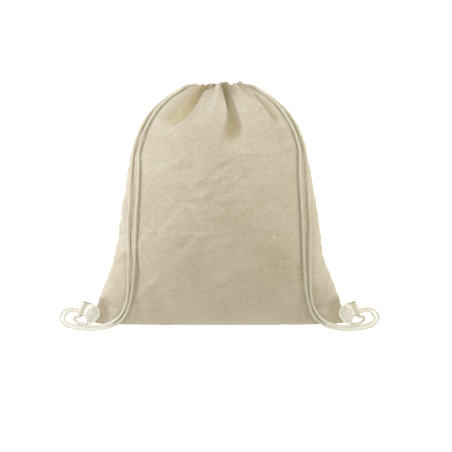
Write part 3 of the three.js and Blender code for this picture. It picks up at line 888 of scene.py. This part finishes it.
def cloth_places(grid, v):
    """Millimetres on the flat cloth for each point of a grid of rows, with no painted shading yet."""
    along = lengths_along(grid)
    turn = along / along[:, -1:] * 2 * CLOTH_WIDTH
    return np.stack([turn, np.broadcast_to(v[:, None] * CLOTH_HEIGHT, turn.shape), 0 * turn], -1)


def fold_faces(columns):
    """The first row's faces where the back hangs on the front's own points along the bottom fold."""
    ratio = FRONT_COLUMNS // BACK_COLUMNS
    faces = []
    for k in range(BACK_COLUMNS):
        fold = [FRONT_COLUMNS - ratio * k - n for n in range(ratio + 1)]
        left = columns + FRONT_COLUMNS + k
        right = columns + (FRONT_COLUMNS + k + 1) % columns
        faces.append((fold[0], left, right, *fold[:0:-1]))
    return faces


def gathers(turn, along):
    """Height of the cloth's small gathers round a sleeve."""
    twisted = np.cos(GATHERS["count"] * turn + along / GATHERS["twist_length"])
    return GATHERS["height"] * twisted * np.sin(along / GATHERS["length"])


def sleeve(side):
    """The casing's end round both strands where they leave it."""
    path = Line([(side * x, y, 0) for x, y in SLEEVE["line"]]).at(np.linspace(0, 1, SLEEVE["rings"]))
    points, faces, where = tube(path, SLEEVE["half_width"], SLEEVE["sides"], gathers)
    points[:, 2] = points[:, 2] * SLEEVE["half_height"] / SLEEVE["half_width"] + SLEEVE["z"]
    return points, faces, where * (SLEEVE["cloth_round"], 1, 0) + (0, CLOTH_HEIGHT - HEM, 0)


def used_points(points, faces, where):
    """Drops the points that no face uses."""
    used = sorted({i for face in faces for i in face})
    place = dict(zip(used, range(len(used))))
    return points[used], [tuple(place[i] for i in face) for face in faces], where[used]


def bag_grid(angle):
    """Rows of the bag's points, up its outside, over the rim and down its inside, and their places."""
    heights = row_heights()
    hem_rows, body_rows = INSIDE["hem_rows"], INSIDE["body_rows"]
    hem = np.linspace(1, 1 - HEM / CLOTH_HEIGHT, hem_rows)
    inner_heights = np.concatenate([hem, np.linspace(INSIDE["top"], INSIDE["bottom"], body_rows)])
    depths = np.repeat([CLOTH, INSIDE["depth"]], [hem_rows, body_rows])
    outer = bag_surface(angle[None, :], heights[:, None], 0.0, bag_detail)
    inner = bag_surface(angle[None, :], inner_heights[:, None], depths[:, None])
    rim = (outer[-1] + inner[0]) / 2 + (0, RIM_ROLL, 0)
    grid = np.concatenate([outer, rim[None], inner])
    where = cloth_places(grid, np.concatenate([heights, [1.0], inner_heights]))
    # The share of painted shade in the folds rides on the outside's places
    where[:ROWS, :, 2] = painted_fold_shade(angle[None, :], heights[:, None])
    return grid, where


def add_bag():
    angle = column_angles()
    grid, where = bag_grid(angle)
    rows, columns = grid.shape[:2]
    quads = ring_faces(rows, columns, outward=False)
    # The back's quads of the first row give way to fold_faces
    faces = [f for f in quads if f[0] >= columns or f[0] < FRONT_COLUMNS] + fold_faces(columns)
    faces.append(tuple((rows - 1) * columns + j for j in range(columns)))
    body = used_points(grid.reshape(-1, 3), faces, where.reshape(-1, 3))
    points, faces, where = joined([body, sleeve(-1), sleeve(1)])
    made = mesh_object("drawstring_bag", points, faces, COTTON, where)
    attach(made, "root")
    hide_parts("bag_body")


# Corner loops of tape


def tape_path():
    """The folded tape from its lower end round the tip to its upper end.

    Gives the middle of each row, the direction across the tape there, and how high the row lies in the
    loop, from -1 at its underside to 1 at its top.
    """
    root, tip = np.array(TAPE_LOOP["root"]), np.array(TAPE_LOOP["tip"])
    top = (TAPE_LOOP["opening"] + TAPE) / 2
    closed = TAPE / 2 + TAPE_WEAVE["between"]
    along = np.linspace(0, 1, TAPE_WEAVE["rows"])
    lift = mix(closed, top, smooth(0, TAPE_LOOP["swell"], along))
    bend = np.linspace(-math.pi / 2, math.pi / 2, TAPE_WEAVE["bend_rows"])[1:-1]
    t = np.concatenate([along, 1 + np.cos(bend) * top / np.linalg.norm(tip - root), along[::-1]])
    z = np.concatenate([-lift, np.sin(bend) * top, lift[::-1]])
    middles = root + (tip - root) * t[:, None] + np.array([0, 0, 1]) * z[:, None]
    root_across, tip_across = np.array(TAPE_LOOP["root_across"]), np.array(TAPE_LOOP["tip_across"])
    return middles, unit(mix(root_across, tip_across, np.clip(t, 0, 1)[:, None])), z / top


def tape_face(middles, across, height, face):
    """One face of the tape row by row, 1 the outer and -1 the inner, and its places on the tape."""
    out = unit(np.cross(unit(np.gradient(middles, axis=0)), across))
    q = np.linspace(-0.5, 0.5, TAPE_WEAVE["cells"] + 1)[::face]
    ribs = TAPE_WEAVE["rib_height"] * np.abs(np.sin(math.pi * TAPE_WEAVE["ribs"] * (q + 0.5)))
    edge = 1 - smooth(TAPE_WEAVE["edge_from"], 0.5, np.abs(q)) * TAPE_WEAVE["edge_thinning"]
    rise = (TAPE / 2 - TAPE_WEAVE["rib_height"] + ribs) * edge
    beside = q * TAPE_WIDTH - TAPE_WEAVE["lean"] * height[:, None]
    points = middles[:, None] + across[:, None] * beside[..., None]
    points = points + out[:, None] * (face * rise)[None, :, None]
    places = np.broadcast_arrays((q * TAPE_WIDTH)[None, :], lengths_along(middles)[:, None], 0.0)
    return points, np.stack(places, -1)


def add_tape(word, side):
    path = tape_path()
    outer, inner = tape_face(*path, 1), tape_face(*path, -1)
    grid, where = (np.concatenate(pair, axis=1) for pair in zip(outer, inner))
    rows, count = grid.shape[:2]
    faces = ring_faces(rows, count)
    faces.append(tuple(range(count))[::-1])
    faces.append(tuple((rows - 1) * count + j for j in range(count)))
    points, faces = on_side(grid.reshape(-1, 3), faces, side)
    made = mesh_object(f"corner_tape_{word}", points, faces, TAPE_COTTON, where.reshape(-1, 3))
    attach(made, "root")
    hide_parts(f"tape_loop_{word}")


# Knots


def turned(x, y, degrees):
    """X and y turned round the origin."""
    c, n = math.cos(math.radians(degrees)), math.sin(math.radians(degrees))
    return x * c - y * n, x * n + y * c


def knot_turn(radius):
    """The cord's outer turn round the knot, from under the others out toward the small loop."""
    share = np.linspace(0, 1, KNOT_TURN["steps"])
    turn = np.radians(mix(KNOT_TURN["from"], KNOT_TURN["to"], share))
    leaving = smooth(KNOT_TURN["leaves"], 1, share)
    tucked_in = KNOT_TURN["tucked_in"] * (1 - smooth(0, KNOT_TURN["in_until"], share))
    tucked_down = KNOT_TURN["tucked_down"] * (1 - smooth(0, KNOT_TURN["down_until"], share))
    reach = radius + KNOT_TURN["swell"] * leaving - tucked_in
    height = KNOT_TURN["lift"] - KNOT_TURN["sink"] * leaving - tucked_down
    return np.stack([reach * np.cos(turn), reach * np.sin(turn), height], -1)


def knot_band(index, radius):
    """One of the strands that lie side by side across the knot, in line with the tape."""
    offset = (index - (KNOT_BANDS["count"] - 1) / 2) * KNOT_BANDS["pitch"]
    half = math.sqrt(max(radius**2 - offset**2, KNOT_BANDS["least_half"] ** 2))
    s = np.linspace(-1, 1, KNOT_BANDS["steps"])
    cut_back = KNOT_BANDS["cut_back"] * (1 - (offset / radius) ** 2)
    along = half * s - cut_back * np.maximum(s, 0) ** KNOT_BANDS["cut_power"]
    across = offset + KNOT_BANDS["sway"] * np.sin(KNOT_BANDS["sways"] * s + index)
    from_middle = (along**2 + across**2) / (radius + KNOT_BANDS["crown_reach"]) ** 2
    end_drop = KNOT_BANDS["end_drop"] * np.abs(s) ** KNOT_BANDS["drop_power"]
    height = KNOT_BANDS["crown"] * (1 - from_middle) - end_drop
    x, y = turned(along, across, KNOT_BANDS["angle"])
    return np.stack([x, y, height - KNOT_BANDS["sink"]], -1)


def knot_tuck():
    """A strand's end tucked over the others near the top."""
    s = np.linspace(-1, 1, KNOT_TUCK["steps"])
    x, y = turned(KNOT_TUCK["reach"] * s, 0, KNOT_BANDS["angle"] + 90)
    height = KNOT_TUCK["z"] + KNOT_TUCK["rise"] * (1 - 2 * s**4)
    return np.stack([KNOT_TUCK["at"][0] + x, KNOT_TUCK["at"][1] + y, height], -1)


def knot_underside(points):
    """Height of the knot's flat underside, which sags a little to meet the tape."""
    toward_tape, _ = turned(points[:, 0], points[:, 1], -KNOT_BANDS["angle"])
    return KNOT_UNDERSIDE["z"] - KNOT_UNDERSIDE["sag"] * smooth(*KNOT_UNDERSIDE["sags"], toward_tape)


def add_knot(word, side):
    """Both ends of a drawcord bound in one flat round knot: an outer turn round strands side by side."""
    radius = KNOT["radius"] - CORD / 2
    strands = [(knot_turn(radius), CORD / 2)]
    strands += [(knot_band(i, radius), KNOT_BANDS["radius"]) for i in range(KNOT_BANDS["count"])]
    strands.append((knot_tuck(), KNOT_TUCK["radius"]))
    points, faces, where = joined([tube(*strand, CORD_SIDES, braid) for strand in strands])
    points[:, 2] = np.maximum(points[:, 2], knot_underside(points))
    z, x = turned(points[:, 2], points[:, 0], -KNOT["tilt"])
    points = np.stack([x, points[:, 1], z], -1) + np.array(KNOT["at"])
    points, faces = on_side(points, faces, side)
    # Painted light: the knots take the cords' palest colour throughout
    where = where * (CORD * math.pi, 1, 0) + (0, 0, 1)
    made = mesh_object(f"cord_knot_{word}", points, faces, CORD_COTTON, where)
    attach(made, "root")
    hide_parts(f"knot_{word}")
    return made


# Floor and light


def add_floor():
    signs = ((-1, -1), (1, -1), (1, 1), (-1, 1))
    corners = [(x * FLOOR_REACH, y * FLOOR_REACH, 0) for x, y in signs]
    material = bpy.data.materials.new("floor")
    material.use_nodes = True
    set_inputs(material.node_tree.nodes["Principled BSDF"], FLOOR)
    mesh_object("floor", corners, [(0, 1, 2, 3)], material)


def add_lights():
    for row in LIGHTS:
        data = bpy.data.lights.new(row["name"], "AREA")
        data.size = row["size"] * MM
        data.energy = row["watts"]
        data.color = row["color"]
        made = bpy.data.objects.new(row["name"], data)
        bpy.context.scene.collection.objects.link(made)
        made.location = tuple(c * MM for c in row["at"])
        aim = -np.array(row["at"], float) + (0, 0, OUTLINE_HEIGHT)
        direction = aim / np.linalg.norm(aim)
        pitch = math.acos(-direction[2])
        made.rotation_euler = (pitch, 0, math.atan2(-direction[0], direction[1]))
    world = bpy.data.worlds.new("studio")
    world.use_nodes = True
    set_inputs(world.node_tree.nodes["Background"], WORLD)
    scene = bpy.context.scene
    scene.world = world
    scene.view_settings.view_transform = "Standard"
    scene.view_settings.look = "None"


def main():
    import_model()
    add_camera()
    for word, side in SIDES:
        add_cord("inner", word, side, INNER_CORD, "knot")
        add_cord("outer", word, side, OUTER_CORD, "knot")
        add_cord("loop", word, side, LOOP_CORD, "object")
    add_bag()
    for word, side in SIDES:
        add_tape(word, side)
        knot = add_knot(word, side)
    add_floor()
    add_lights()


main()
